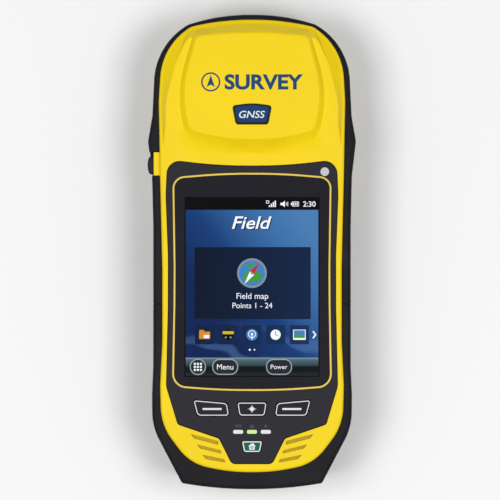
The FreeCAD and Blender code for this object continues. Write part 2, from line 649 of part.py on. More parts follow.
def electronics():
    """Boards, shields, speakers, antenna and camera."""
    board = Piece("main_board")
    board.box(("board_wide", "board_long", "board_thick"), ("0", "board_middle", "board_level"))
    board.pocket(discs(0.95, BOARD_SCREWS), "board_level - 1", "4")
    shields = Piece("signal_shields")
    on_main = rectangle(-24, 2, -10, 22, 1) + rectangle(6, 26, -10, 12, 1)
    on_main += rectangle(-24, 10, -54, -26, 1)
    shields.pad(on_main, "board_level + board_thick", "2")
    on_receiver = rectangle(-22, -2, 66, 90, 1) + rectangle(2, 22, 66, 86, 1)
    shields.pad(on_receiver, "receiver_level + board_thick", "2.4")
    receiver = Piece("receiver_board")
    place = ("0", "receiver_middle", "receiver_level")
    receiver.box(("receiver_wide", "receiver_long", "board_thick"), place)
    receiver.pocket(discs(1.0, RECEIVER_SCREWS), "receiver_level - 1", "4")
    speakers = Piece("speakers")
    for sign in (-1, 1):
        across = f"{sign} * speaker_across"
        speakers.rod("speaker_round", "4.6", (across, "speaker_along", "39.6"))
        speakers.rod("speaker_round - 2.2", "1.6", (across, "speaker_along", "38"))
        speakers.rod("speaker_round - 1.4", "1", (across, "speaker_along", "43.8"), cut=True)
    mesh = [(12.2, -91.6, 1), (30.9, -88.0, 1), (24.6, -102.4, 1), (12.2, -104.3, 1)]
    Piece("speaker_meshes").pad(edges_of(mesh) + edges_of(flipped(mesh)), "44.2", "0.4")
    base = Piece("antenna_base")
    base.box(("ground_wide", "ground_long", "1.6"), ("0", "antenna_middle", "45"))
    base.pocket(discs(1.05, ANTENNA_SCREWS), "44", "4")
    patch = Piece("antenna_patch")
    patch.box(("patch_side", "patch_side", "4.4"), ("0", "antenna_middle", "46.6"))
    patch.box(("patch_side - 5", "patch_side - 5", "0.4"), ("0", "antenna_middle", "51"))
    patch.rod("0.8", "0.9", ("4", "antenna_middle - 5", "51"))
    camera = Piece("camera_module")
    camera.box(("14.5", "14.5", "6"), ("0", "camera_along", "9"))
    camera.rod("5.9", "6.6", ("0", "camera_along", "2.5"))
    panes = Piece("camera_windows")
    panes.pad(discs(6.95, [(0.0, D["camera_along"])]) + discs(3.15, [FLASH_SPOT]), "1.4", "1")
    switch = Piece("power_switch")
    switch.box(("3", "5", "7.6"), ("-39.4", BUTTON_ALONG, "37"))
    meet = Piece("contact_block")
    meet.pad(rectangle(-6, 6, -80, -74), "34.15", "board_level - 34.15")
    port = Piece("data_port")
    port.box(("12", "11.5", "6"), ("0", "-103.75", "22"))
    port.box(("9.2", "5", "3"), ("0", "-108", "23.5"), cut=True)
    reader = Piece("card_socket")
    reader.box(("9.6", "19.6", "4.8"), ("38.4", "15", "21.6"))
    reader.box(("3", "22", "6"), ("40", "15", "21"))
    reader.box(("8", "15", "1.2"), ("40.2", "15", "23.4"), cut=True)
    slot = Piece("expansion_connector")
    slot.box(("26", "7", "4"), ("0", "69", "10"))
    slot.box(("22", "2", "2.5"), ("0", "69", "9.5"), cut=True)
    stud = Piece("antenna_connector")
    stud.rod("2.55", "11", (ANTENNA_PORT[0], ANTENNA_PORT[1], "4"))
    stud.rod("4.2", "1.6", (ANTENNA_PORT[0], ANTENNA_PORT[1], "12"))
    stud.rod("1.1", "3", (ANTENNA_PORT[0], ANTENNA_PORT[1], "3.5"), cut=True)


# ---------------------------------------------------------------- battery and latches


def battery():
    """The battery pack: tray, lid, three cells and the contact pads."""
    wall = D["pack_wall"]
    half = D["pack_wide"] / 2
    base_end = D["pack_middle"] - D["pack_long"] / 2
    head_end = D["pack_middle"] + D["pack_long"] / 2
    outline = rectangle(-half, half, base_end, head_end, 2.9)
    cell_room = rectangle(wall - half, half - wall, base_end + wall, head_end - 5, 1.7)
    case = Piece("battery_case")
    case.pad(outline, "grip_face", "pack_thick - lid_thick")
    case.pocket(cell_room, "grip_face + 1.4", "pack_thick")
    ribs = []
    for along in (-72.0, -66.0, -60.0, -28.0, -22.0, -16.0):
        ribs += rectangle(-22, 22, along - 1, along + 1, 0.9)
    case.pocket(ribs, "grip_face - 1", "1.5")
    case.pocket(latch_slots(), "19", "20")
    lid = Piece("battery_lid")
    lid.pad(outline, "grip_face + pack_thick - lid_thick", "lid_thick")
    lid.pocket(latch_slots(), "19", "20")
    lid.pocket(contact_pads(), "33.4", "2")
    cells = Piece("battery_cells")
    for across in (-18.6, 0, 18.6):
        cells.rod("cell_round", "cell_long", (across, "pack_middle - 2 - cell_long / 2", "23.5"), "y")
    Piece("battery_contacts").pad(contact_pads(), "33.4", "0.6")


def latch_slots():
    """The two slots in the end of the pack that the latch bolts enter."""
    offset = D["latch_offset"]
    return [
        edge for side in (-1, 1)
        for edge in rectangle(side * offset - 4.5, side * offset + 4.5, -7.2, -3.0)
    ]


def contact_pads():
    """Four flat contacts near the lower end of the pack."""
    return [edge for x in (-4.5, -1.5, 1.5, 4.5) for edge in rectangle(x - 0.9, x + 0.9, -79.5, -74.5)]


def coil(name, across, start, length, turns, radius, wire):
    """A compression spring along +Y, closed by a ring at each end."""
    helix = doc.addObject("Part::Helix", f"{name}_path")
    helix.Radius = radius
    helix.Pitch = (length - 2 * wire) / turns
    helix.Height = length - 2 * wire
    around = doc.addObject("Part::Circle", f"{name}_wire")
    around.Radius = wire
    around.Placement = FreeCAD.Placement(Vector(radius, 0, 0), FreeCAD.Rotation(Vector(1, 0, 0), 90))
    swept = doc.addObject("Part::Sweep", f"{name}_sweep")
    swept.Sections = [around]
    swept.Spine = (helix, ["Edge1"])
    swept.Solid = True
    swept.Frenet = True
    ends = []
    for level in (0.0, length - 2 * wire):
        ring = doc.addObject("Part::Torus", f"{name}_end")
        ring.Radius1 = radius
        ring.Radius2 = wire
        ring.Placement.Base.z = level
        ends.append(ring)
    spring = doc.addObject("Part::MultiFuse", name)
    spring.Shapes = [swept] + ends
    spring.Label = name
    turn = FreeCAD.Rotation(Vector(1, 0, 0), -90)
    spring.Placement = FreeCAD.Placement(Vector(across, start + wire, 19.8), turn)
    NODES.append(spring)


def latches():
    """Two sliding latches with their bolts and springs, and the plate that keeps them in."""
    for side, sign in (("left", -1), ("right", 1)):
        latch = Piece(f"{side}_latch")
        across = f"{sign} * latch_offset"
        middle = sign * D["latch_offset"]
        latch.box(("14", "9", "8"), (across, "4.5", "15.8"))
        latch.pad(rectangle(middle - 5.4, middle + 5.4, 1.0, 8.0, 1.2), "13.4", "2.5")
        grooves = []
        for along in (2.6, 4.5, 6.4):
            grooves += rectangle(middle - 4, middle + 4, along - 0.5, along + 0.5)
        latch.pocket(grooves, "12.4", "1.5")
        latch.rod("2.6", "7", (across, "3", "19.8"), "y", cut=True)
        latch.box(("8", "2.4", "3"), (across, "1.2", "19.5"), cut=True)
        bolt = Piece(f"{side}_latch_bolt")
        bolt.box(("8", "8.5", "3"), (across, "-1.95", "19.5"))
        coil(f"{side}_latch_spring", middle, 3.0, 13.0, 8, 1.85, 0.3)
    plate = Piece("latch_plate")
    plate.pad(rectangle(-28, 28, -1.8, 17.8, 1.5), "24", "1.2")
    plate.pocket(discs(1.05, LATCH_SCREWS), "23", "4")


# ---------------------------------------------------------------- covers, button, trim


def covers():
    """Rear cover with its gasket, card door, port cover, antenna cap and the pins they turn on."""
    cover = Piece("rear_cover")
    cover.pad(rectangle(-27, 27, 33, 81, 3), "rear_face", "2")
    cover.pocket(discs(2.05, COVER_SCREWS), "0", "rear_face + 1")
    cover.pocket(discs(1.1, COVER_SCREWS), "0", "5")
    ridges = []
    for along in (45.0, 51.0, 57.0, 63.0, 69.0):
        ridges += rectangle(-20, 20, along - 1.2, along + 1.2, 1.1)
    cover.pocket(ridges, "0", "rear_face + 0.4")
    ring = rectangle(-22.95, 22.95, 35.55, 78.45, 2.9) + rectangle(-21.25, 21.25, 37.15, 76.85, 1.3)
    Piece("rear_cover_gasket").pad(ring, "rear_face + 2", "0.8")
    door = Piece("card_door")
    door.box(("2.1", "31.2", "11.1"), ("47.35", "15", "19.6"))
    door.box(("0.8", "19", "4.4"), ("45.9", "15", "21.8"))
    door.rod("1.3", "28", ("46.9", "1", "18.8"), "y")
    door.rod("0.75", "34", ("46.9", "-2", "18.8"), "y", cut=True)
    flap = Piece("port_cover")
    flap.box(("30.4", "2.8", "12.3"), ("0", "-115", "20.1"))
    flap.box(("12.6", "1.6", "5.8"), ("0", "-112.9", "22.1"))
    flap.rod("1.5", "27", ("-13.5", "-114.9", "18.9"), "x")
    flap.rod("0.75", "34", ("-17", "-114.9", "18.9"), "x", cut=True)
    pins = Piece("cover_pins")
    pins.rod("0.7", "35.4", ("46.9", "-2.7", "18.8"), "y")
    pins.rod("0.7", "35.4", ("-17.7", "-114.9", "18.9"), "x")
    cap = Piece("antenna_cap")
    cap.rod("5.05", "5.6", (ANTENNA_PORT[0], ANTENNA_PORT[1], "rear_face"))
    cap.rod("2.65", "6", (ANTENNA_PORT[0], ANTENNA_PORT[1], "3.4"), cut=True)


def trim():
    """Power button, badge, strap bars, resting pads, seal and screws."""
    button = Piece("power_button")
    button.pad(edges_of(BUTTON), BUTTON_LEVEL - 5, "10")
    button.soften(1.2, lambda edge: edge.BoundBox.XMax < -47.5)
    button.box(("5.8", "3", "4"), ("-44.7", BUTTON_ALONG, BUTTON_LEVEL - 2))
    badge = Piece("badge_plate")
    badge.pad(edges_of(BADGE), "dome_top - 0.7", "0.9").soften(0.3, at_level(D["dome_top"] + 0.2))
    bars = Piece("strap_bars")
    for along in STRAP_BARS:
        bars.rod("1.5", "34", ("-17", along, "3.0"), "x")
    Piece("rear_pads").pad(pad_outlines(0.0), "0", "2")
    Piece("case_seal").pad(inset_ring(0.75, 1.65), "32.5", "0.8")
    screws = Piece("case_screws")
    screws.pad(discs(2.8, CASE_SCREWS), "17", "3").pad(discs(1.45, CASE_SCREWS), "20", "21.5")
    screws.pocket(discs(1.2, CASE_SCREWS), "16.5", "2")
    small = Piece("cover_screws")
    small.pad(discs(2.0, COVER_SCREWS), "rear_face", "1")
    small.pad(discs(1.0, COVER_SCREWS), "rear_face + 0.9", "3.2")
    small.pocket(discs(0.8, COVER_SCREWS), "1", "0.8")
    inner = Piece("inner_screws")
    rows = [
        (CHASSIS_SCREWS, "39.6", "3.8"), (BOARD_SCREWS, "36", "4.2"), (ANTENNA_SCREWS, "43.8", "6"),
    ]
    for spots, low, long in rows:
        inner.pad(discs(1.9, spots), low, "1.2").pad(discs(0.9, spots), f"{low} + 1.1", long)
    for spots, low, long in ((RECEIVER_SCREWS, "34.7", "6"), (LATCH_SCREWS, "25.2", "7.5")):
        inner.pad(discs(1.9, spots), low, "1.2").pad(discs(0.9, spots), f"{low} - {long}", f"{long} + 0.1")


front_case()
rear_case()
bumpers()
screen()
keys()
electronics()
battery()
latches()
covers()
trim()
doc.recompute()

# ---------------------------------------------------------------- checks and export

failed = [o.Name for o in doc.Objects if "Invalid" in o.State or "Error" in o.State]
if failed:
    print("failed:", failed)
    sys.exit("an object could not be made")
os.makedirs("parts", exist_ok=True)
for node in NODES:
    shape = node.Shape
    if shape.isNull() or not shape.isValid() or shape.Volume <= 0:
        sys.exit(f"{node.Label} has no valid shape")
for node in NODES:
    node.Shape.exportStep(f"parts/{node.Label}.step")
    box = node.Shape.BoundBox
    print(f"{node.Label:22} solids {len(node.Shape.Solids)} volume {node.Shape.Volume / 1000:8.3f} cc"
          f"  x {box.XMin:7.2f} {box.XMax:7.2f}  y {box.YMin:7.2f} {box.YMax:7.2f}"
          f"  z {box.ZMin:6.2f} {box.ZMax:6.2f}")
print("nodes", len(NODES), "volume", round(sum(node.Shape.Volume for node in NODES) / 1000, 1))
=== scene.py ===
import math

import bmesh
import bpy
from mathutils import Matrix, Vector


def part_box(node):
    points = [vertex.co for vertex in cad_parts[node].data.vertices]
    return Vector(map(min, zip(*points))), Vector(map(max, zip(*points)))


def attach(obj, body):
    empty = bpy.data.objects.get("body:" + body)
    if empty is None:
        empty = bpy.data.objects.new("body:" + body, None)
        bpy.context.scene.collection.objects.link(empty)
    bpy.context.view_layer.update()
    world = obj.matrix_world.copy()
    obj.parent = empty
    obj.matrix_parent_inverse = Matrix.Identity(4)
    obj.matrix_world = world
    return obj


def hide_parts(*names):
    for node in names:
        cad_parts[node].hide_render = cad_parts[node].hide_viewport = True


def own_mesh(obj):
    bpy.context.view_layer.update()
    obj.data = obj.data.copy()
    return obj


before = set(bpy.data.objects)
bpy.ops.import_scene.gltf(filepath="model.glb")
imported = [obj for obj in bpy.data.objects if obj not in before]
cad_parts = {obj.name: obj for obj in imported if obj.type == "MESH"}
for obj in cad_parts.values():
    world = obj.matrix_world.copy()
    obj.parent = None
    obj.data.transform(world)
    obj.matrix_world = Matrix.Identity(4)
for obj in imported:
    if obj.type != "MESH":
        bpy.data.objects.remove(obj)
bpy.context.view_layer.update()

MM = 0.001
THIN = 0.03  # one layer of print or of the display, in millimetres
EDGE_ANGLE = math.radians(35)  # a sharper edge than this is an edge, and not part of a curve
CREASE_ANGLE = math.radians(45)  # the same for a CAD piece after its edges are rounded

# Levels that the CAD pieces give, in metres.
GLASS_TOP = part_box("touch_window")[1][2]
BADGE_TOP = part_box("badge_plate")[1][2]
DOME_TOP = BADGE_TOP - 0.2 * MM
KEY_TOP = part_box("action_key")[1][2]
BEZEL_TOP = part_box("screen_bezel")[1][2]
FRAME_FACE = BEZEL_TOP + 0.5 * MM

# The edges of what the display shows, in millimetres, with its status bar and its menu bar.
VIEW_LEFT, VIEW_RIGHT, VIEW_LOW, VIEW_HIGH = -32.6, 32.6, -60.8, 26.4
STATUS_LOW, MENU_HIGH = 20.7, -52.0

STUDIO = bpy.context.scene
STUDIO.view_settings.view_transform = "Standard"


# ---------------------------------------------------------------- finishes

def srgb(red, green, blue):
    """A colour given as it is seen, 0 to 255, as the shader wants it."""
    def linear(value):
        value /= 255
        return value / 12.92 if value <= 0.04045 else ((value + 0.055) / 1.055) ** 2.4
    return (linear(red), linear(green), linear(blue), 1.0)


BLACK = (0, 0, 0, 1)
WHITE = (1, 1, 1, 1)
MIX_INPUTS = (0, 6, 7)  # a colour Mix node's factor and its two colours


class Finish:
    """A node material that is built up one step at a time."""

    def __init__(self, name):
        self.material = bpy.data.materials.new(name)
        self.material.use_nodes = True
        self.nodes = self.material.node_tree.nodes
        self.links = self.material.node_tree.links
        self.shader = self.nodes["Principled BSDF"]
        self.place = self.nodes.new("ShaderNodeTexCoord").outputs["Object"]

    def feed(self, value, socket):
        """Joins another node's output to a socket, or sets the socket to a plain value."""
        if isinstance(value, bpy.types.NodeSocket):
            self.links.new(value, socket)
        else:
            socket.default_value = value

    def node(self, kind, settings=None, **inputs):
        """A node with its settings, and with its inputs fed by name."""
        made = self.nodes.new(kind)
        for name, value in (settings or {}).items():
            setattr(made, name, value)
        for name, value in inputs.items():
            self.feed(value, made.inputs[name.replace("_", " ")])
        return made

    def noise(self, scale, detail=4.0, rough=0.55, place=None):
        made = self.node("ShaderNodeTexNoise", Vector=place or self.place, Scale=scale, Detail=detail,
                         Roughness=rough)
        return made.outputs["Fac"]

    def cells(self, scale, feature="F1"):
        made = self.node("ShaderNodeTexVoronoi", {"feature": feature}, Vector=self.place, Scale=scale)
        return made.outputs["Distance"]

    def ramp(self, factor, *stops):
        """A run of colours, each with its place between 0 and 1."""
        made = self.node("ShaderNodeValToRGB", Fac=factor)
        line = made.color_ramp
        while len(line.elements) < len(stops):
            line.elements.new(0.5)
        for element, (where, colour) in zip(line.elements, stops):
            element.position = where
            element.color = colour
        return made.outputs["Color"]

    def mask(self, factor, none, full):
        """Black below one value of the factor and white above another."""
        return self.ramp(factor, (none, BLACK), (full, WHITE))

    def spread(self, factor, low, high):
        return self.node("ShaderNodeMapRange", Value=factor, To_Min=low, To_Max=high).outputs["Result"]

    def run(self, axis, start, end):
        """How far a point lies from one place to another along an axis, in millimetres: 0 to 1."""
        parts = self.node("ShaderNodeSeparateXYZ", Vector=self.place)
        made = self.node("ShaderNodeMapRange", Value=parts.outputs[axis], From_Min=start * MM,
                         From_Max=end * MM)
        return made.outputs["Result"]

    def maths(self, operation, first, second):
        made = self.node("ShaderNodeMath", {"operation": operation})
        self.feed(first, made.inputs[0])
        self.feed(second, made.inputs[1])
        return made.outputs["Value"]

    def mix(self, factor, first, second):
        made = self.node("ShaderNodeMix", {"data_type": "RGBA"})
        for index, value in zip(MIX_INPUTS, (factor, first, second)):
            self.feed(value, made.inputs[index])
        return made.outputs[2]

    def bump(self, height, strength, depth=0.0001):
        made = self.node("ShaderNodeBump", Height=height, Strength=strength, Distance=depth)
        self.links.new(made.outputs["Normal"], self.shader.inputs["Normal"])

    def put(self, **sockets):
        """Feeds the surface's own sockets by name."""
        for name, value in sockets.items():
            self.feed(value, self.shader.inputs[name.replace("_", " ")])
        return self

    def lit(self, colour, strength=0.68, rough=0.15):
        """Its own light, as the display or a lamp has, under a glossy front."""
        self.put(Base_Color=self.mix(0.8, colour, BLACK), Roughness=rough)
        self.put(Emission_Color=colour, Emission_Strength=strength)
        return self.put(Coat_Weight=0.1, Coat_Roughness=0.04, Specular_IOR_Level=0.15)


def shade(colour, factor):
    """A colour made lighter or darker."""
    return tuple(min(1.0, channel * factor) for channel in colour[:3]) + (1.0,)


def moulded(name, colour, rough=0.45, grain=2600.0, relief=0.25, coat=0.0, metal=0.0):
    """Moulded plastic or rubber: a fine spark-eroded grain, slow drift of tone and of gloss."""
    made = Finish(name)
    tone = made.noise(38.0, 3.0)
    made.put(Base_Color=made.ramp(tone, (0.3, shade(colour, 0.94)), (0.7, shade(colour, 1.06))))
    fine = made.noise(grain, 5.0, 0.6)
    handled = made.noise(95.0, 5.0, 0.6)
    made.put(Roughness=made.spread(handled, rough - 0.07, rough + 0.07))
    made.bump(made.maths("MULTIPLY", fine, made.cells(grain * 0.6)), relief)
    return made.put(Coat_Weight=coat, Coat_Roughness=0.12, Metallic=metal, Specular_IOR_Level=0.14)


def worn_shell(name, colour):
    """The yellow shell: satin plastic with a fine grain and faint scuffs."""
    made = Finish(name)
    tone = made.noise(22.0, 3.0)
    base = made.ramp(tone, (0.25, shade(colour, 0.955)), (0.75, shade(colour, 1.03)))
    scuff = made.mask(made.noise(420.0, 8.0, 0.75), 0.60, 0.74)
    patch = made.mask(made.noise(30.0, 2.0), 0.52, 0.68)
    marks = made.maths("MULTIPLY", made.maths("MULTIPLY", scuff, patch), 0.22)
    made.put(Base_Color=made.mix(marks, base, shade(colour, 0.8)))
    rough = made.spread(made.noise(140.0, 6.0, 0.65), 0.34, 0.47)
    made.put(Roughness=made.maths("ADD", rough, made.maths("MULTIPLY", marks, 0.5)))
    made.bump(made.maths("MULTIPLY", made.noise(2400.0, 4.0), made.cells(1900.0)), 0.16)
    return made.put(Specular_IOR_Level=0.16)


def rubber_skin(name, colour):
    """Overmoulded rubber: matt, with a leathery pebble and paler rubbed spots."""
    made = Finish(name)
    rubbed = made.mask(made.noise(60.0, 6.0, 0.7), 0.5, 0.85)
    tone = made.ramp(made.noise(30.0, 3.0), (0.3, shade(colour, 0.85)), (0.7, shade(colour, 1.15)))
    made.put(Base_Color=made.mix(made.maths("MULTIPLY", rubbed, 0.25), tone, shade(colour, 1.9)))
    pores = made.maths("MULTIPLY", made.noise(4200.0), 0.4)
    made.bump(made.maths("ADD", made.cells(1500.0, "SMOOTH_F1"), pores), 0.3)
    return made.put(Roughness=made.spread(rubbed, 0.62, 0.5), Specular_IOR_Level=0.14)


def machined(name, colour, rough=0.3, along=(1, 30, 1), relief=0.15):
    """Bare metal with drawing lines along X."""
    made = Finish(name)
    stretched = made.node("ShaderNodeMapping", Vector=made.place, Scale=along).outputs["Vector"]
    lines = made.noise(260.0, 6.0, 0.7, stretched)
    made.put(Base_Color=made.ramp(lines, (0.2, shade(colour, 0.82)), (0.8, shade(colour, 1.1))))
    made.bump(lines, relief, 0.00003)
    return made.put(Roughness=made.spread(lines, rough - 0.08, rough + 0.12), Metallic=1.0)


def board_mask(name, colour):
    """Solder mask over copper tracks that run square to each other."""
    made = Finish(name)
    tracks = made.node("ShaderNodeTexBrick", Vector=made.place, Scale=340.0, Mortar_Size=0.03,
                       Brick_Width=2.4, Row_Height=0.32).outputs["Fac"]
    vias = made.ramp(made.cells(420.0), (0.10, WHITE), (0.13, BLACK))
    laid = made.mix(made.maths("MULTIPLY", tracks, 0.8), colour, shade(colour, 2.0))
    made.bump(tracks, 0.3, 0.00004)
    made.put(Base_Color=made.mix(vias, laid, srgb(200, 160, 90)))
    return made.put(Roughness=made.spread(made.noise(120), 0.25, 0.45))


def glow(name, colour, strength, rough=0.15):
    """A part of the lit display, or a lamp, with a slight drift of tone; the light sensor's window, which
    is no lamp, gets a painted glow from it too.
    """
    made = Finish(name)
    tone = made.ramp(made.noise(300.0, 2.0), (0.3, shade(colour, 0.96)), (0.7, shade(colour, 1.04)))
    return made.lit(tone, strength, rough)


def wallpaper(name):
    """The display's background: blue that lightens to the upper right, with soft waves below."""
    made = Finish(name)
    parts = made.node("ShaderNodeSeparateXYZ", Vector=made.place)
    across = made.maths("MULTIPLY", parts.outputs["X"], 13.0)
    along = made.maths("MULTIPLY", parts.outputs["Y"], 9.5)
    slope = made.maths("ADD", made.maths("ADD", across, along), 0.52)
    sky = made.ramp(slope, (0.0, srgb(12, 38, 90)), (0.35, srgb(22, 64, 128)), (0.75, srgb(62, 118, 178)),
                    (1.0, srgb(78, 132, 190)))
    turned = made.node("ShaderNodeMapping", Vector=made.place, Rotation=(0, 0, 0.28)).outputs["Vector"]
    wave = made.node("ShaderNodeTexWave", {"bands_direction": "Y"}, Vector=turned, Scale=22.0,
                     Distortion=1.6, Detail=0.0, Detail_Scale=4.0).outputs["Fac"]
    crest = made.maths("MULTIPLY", made.mask(wave, 0.72, 0.95), made.run("Y", -34.0, -47.0))
    return made.lit(made.mix(made.maths("MULTIPLY", crest, 0.3), sky, srgb(96, 142, 205)))


def steel_sheen(name):
    """The menu bar's steel-green sheen, dark in its lower half."""
    made = Finish(name)
    rise = made.run("Y", VIEW_LOW, MENU_HIGH)
    lower = ((0.0, srgb(40, 44, 50)), (0.28, srgb(10, 16, 18)), (0.5, srgb(14, 22, 24)))
    upper = ((0.55, srgb(44, 66, 74)), (0.9, srgb(84, 112, 122)), (1.0, srgb(140, 170, 182)))
    return made.lit(made.ramp(rise, *lower, *upper))


def dark_panel(name, left, right):
    """A dark panel of the display that lightens a little to one side."""
    made = Finish(name)
    return made.lit(made.ramp(made.run("X", -28.0, 28.0), (0.0, left), (1.0, right)))


YELLOW = srgb(243, 211, 12)
CHARCOAL = srgb(31, 29, 38)
finishes = {
    "yellow": worn_shell("yellow_shell", YELLOW),
    "rubber": rubber_skin("black_overmould", srgb(24, 23, 29)),
    "bezel": moulded("charcoal_bezel", CHARCOAL, 0.42, 2800.0, 0.22),
    "border": moulded("window_border", srgb(26, 25, 33), 0.16, 3000.0, 0.02, coat=0.3),
    "trim": moulded("gold_trim", srgb(226, 198, 88), 0.3, 2400.0, 0.06, metal=0.1, coat=0.3),
    "keys": moulded("key_silicone", srgb(25, 24, 31), 0.5, 3200.0, 0.2),
    "home": moulded("green_key_silicone", srgb(0, 96, 72), 0.42, 3200.0, 0.16, coat=0.05),
    "legend": moulded("key_legend_print", srgb(226, 227, 232), 0.4, 3000.0, 0.08),
    "white_print": moulded("white_print", srgb(236, 240, 244), 0.4, 3000.0, 0.06),
    "faint_print": moulded("faint_print", srgb(84, 83, 95), 0.4, 3000.0, 0.08),
    "blue_print": moulded("blue_print", srgb(8, 66, 112), 0.38, 3000.0, 0.08),
    "badge": moulded("badge_blue", srgb(12, 56, 108), 0.22, 3000.0, 0.05, coat=0.6),
    "badge_rim": moulded("badge_rim_black", srgb(14, 14, 18), 0.3, 3000.0, 0.08, coat=0.3),
    "lamp": glow("lamp_white", srgb(236, 238, 242), 0.72, 0.3),
    "lamp_green": glow("lamp_green", srgb(200, 240, 150), 0.86, 0.3),
    # The light sensor's window is no lamp: its glow is painted light.
    "sensor": glow("sensor_window_painted_glow", srgb(220, 220, 224), 0.6, 0.25),
    "mesh": moulded("speaker_cloth", srgb(22, 22, 26), 0.7, 1500.0, 0.9),
    "battery": moulded("battery_black", srgb(30, 30, 34), 0.5, 1900.0, 0.35),
    "black": moulded("black_moulding", srgb(24, 24, 27), 0.5, 2400.0, 0.25),
    "silicone": moulded("grey_silicone", srgb(110, 112, 118), 0.6, 2600.0, 0.2),
    "steel": machined("zinc_steel", srgb(196, 198, 202), 0.28),
    "plate": machined("stamped_aluminium", srgb(186, 190, 196), 0.35),
    "shield": machined("shield_tin", srgb(206, 206, 200), 0.22, (12, 12, 1), 0.1),
    "brass": machined("gold_contact", srgb(214, 176, 92), 0.24),
    "board": board_mask("green_board", srgb(18, 84, 48)),
    "ceramic": moulded("antenna_ceramic", srgb(222, 216, 200), 0.35, 1800.0, 0.15, coat=0.3),
    "cells": moulded("cell_sleeve", srgb(40, 120, 176), 0.35, 2000.0, 0.08, coat=0.4),
    "lens": moulded("camera_glass", srgb(12, 14, 22), 0.06, 3000.0, 0.01, coat=1.0),
    "lcd": moulded("display_back", srgb(60, 66, 80), 0.3, 2000.0, 0.1),
    "shown_edge": glow("display_black", srgb(4, 4, 8), 0.2),
    # The speaker grooves' floors: a darker yellow that is painted shade of the recesses.
    "groove": moulded("speaker_groove_mesh", srgb(182, 158, 26), 0.6, 1300.0, 0.8),
    "wallpaper": wallpaper("display_wallpaper"),
    "menu_bar": steel_sheen("display_menu_bar"),
    "app_tile": dark_panel("display_app_tile", srgb(5, 20, 46), srgb(14, 38, 74)),
    "icon_tile": dark_panel("display_icon_tile", srgb(10, 30, 66), srgb(22, 52, 98)),
    "button_dark": glow("display_button", srgb(42, 46, 52), 0.6),
    "button_rim": glow("display_button_rim", srgb(176, 184, 190), 0.6),
    "shown_white": glow("display_white", srgb(238, 242, 248), 0.9),
    "shown_shadow": glow("display_shadow", srgb(12, 30, 70), 0.5),
    "shown_red": glow("display_red", srgb(214, 44, 42), 0.6),
    "shown_green": glow("display_green", srgb(78, 168, 74), 0.6),
    "shown_blue": glow("display_blue", srgb(70, 146, 214), 0.6),
    "shown_orange": glow("display_orange", srgb(238, 158, 58), 0.6),
    "shown_yellow": glow("display_yellow", srgb(226, 206, 44), 0.6),
    "shown_grey": glow("display_grey", srgb(150, 160, 172), 0.6),
}

CAD_FINISHES = {
    "yellow": ["front_case", "rear_case", "rear_cover"],
    "rubber": ["head_bumper", "base_bumper", "port_cover", "card_door", "antenna_cap", "rear_pads"],
    "bezel": ["screen_bezel"],
    "border": ["touch_window"],
    "trim": ["screen_trim"],
    "keys": ["left_soft_key", "action_key", "right_soft_key"],
    "home": ["home_key"],
    "badge_rim": ["badge_plate"],
    "lamp": ["status_light_left", "status_light_right"],
    "lamp_green": ["status_light_middle"],
    "sensor": ["light_sensor_window"],
    "mesh": ["speaker_meshes"],
    "battery": ["battery_case", "battery_lid", "left_latch", "right_latch", "power_button"],
    "black": ["contact_block", "data_port", "card_socket", "expansion_connector", "power_switch",
              "speakers", "camera_module"],
    "silicone": ["keypad_gasket", "window_gasket", "rear_cover_gasket", "case_seal"],
    "steel": ["case_screws", "cover_screws", "inner_screws", "strap_bars", "cover_pins",
              "left_latch_spring", "right_latch_spring", "left_latch_bolt", "right_latch_bolt"],
    "plate": ["chassis", "antenna_base", "latch_plate"],
    "shield": ["signal_shields"],
    "brass": ["battery_contacts", "antenna_connector"],
    "board": ["main_board", "key_board", "receiver_board"],
    "ceramic": ["antenna_patch"],
    "cells": ["battery_cells"],
    "lens": ["camera_windows"],
    "lcd": ["lcd_module"],
}
for finish, names in CAD_FINISHES.items():
    for name in names:
        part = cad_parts[name]
        part.data.materials.clear()
        part.data.materials.append(finishes[finish].material)


# ---------------------------------------------------------------- making pieces

def piece_from(shape, name, finish, body):
    """A mesh object from a bmesh, with its finish, riding on a body."""
    bmesh.ops.recalc_face_normals(shape, faces=shape.faces)
    mesh = bpy.data.meshes.new(name)
    shape.to_mesh(mesh)
    shape.free()
    made = bpy.data.objects.new(name, mesh)
    STUDIO.collection.objects.link(made)
    mesh.materials.append(finishes[finish].material)
    mesh.shade_smooth()
    mesh.set_sharp_from_angle(angle=EDGE_ANGLE)
    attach(made, body)
    return made


def lettering(text, lean, heavy):
    """Flat lettering as a mesh, at the font's own size."""
    curve = bpy.data.curves.new("lettering", "FONT")
    curve.body = text
    curve.shear = lean
    curve.offset = heavy
    curve.resolution_u = 6
    holder = bpy.data.objects.new("lettering", curve)
    STUDIO.collection.objects.link(holder)
    bpy.context.view_layer.update()
    flat = bpy.data.meshes.new_from_object(holder)
    bpy.data.objects.remove(holder)
    return flat


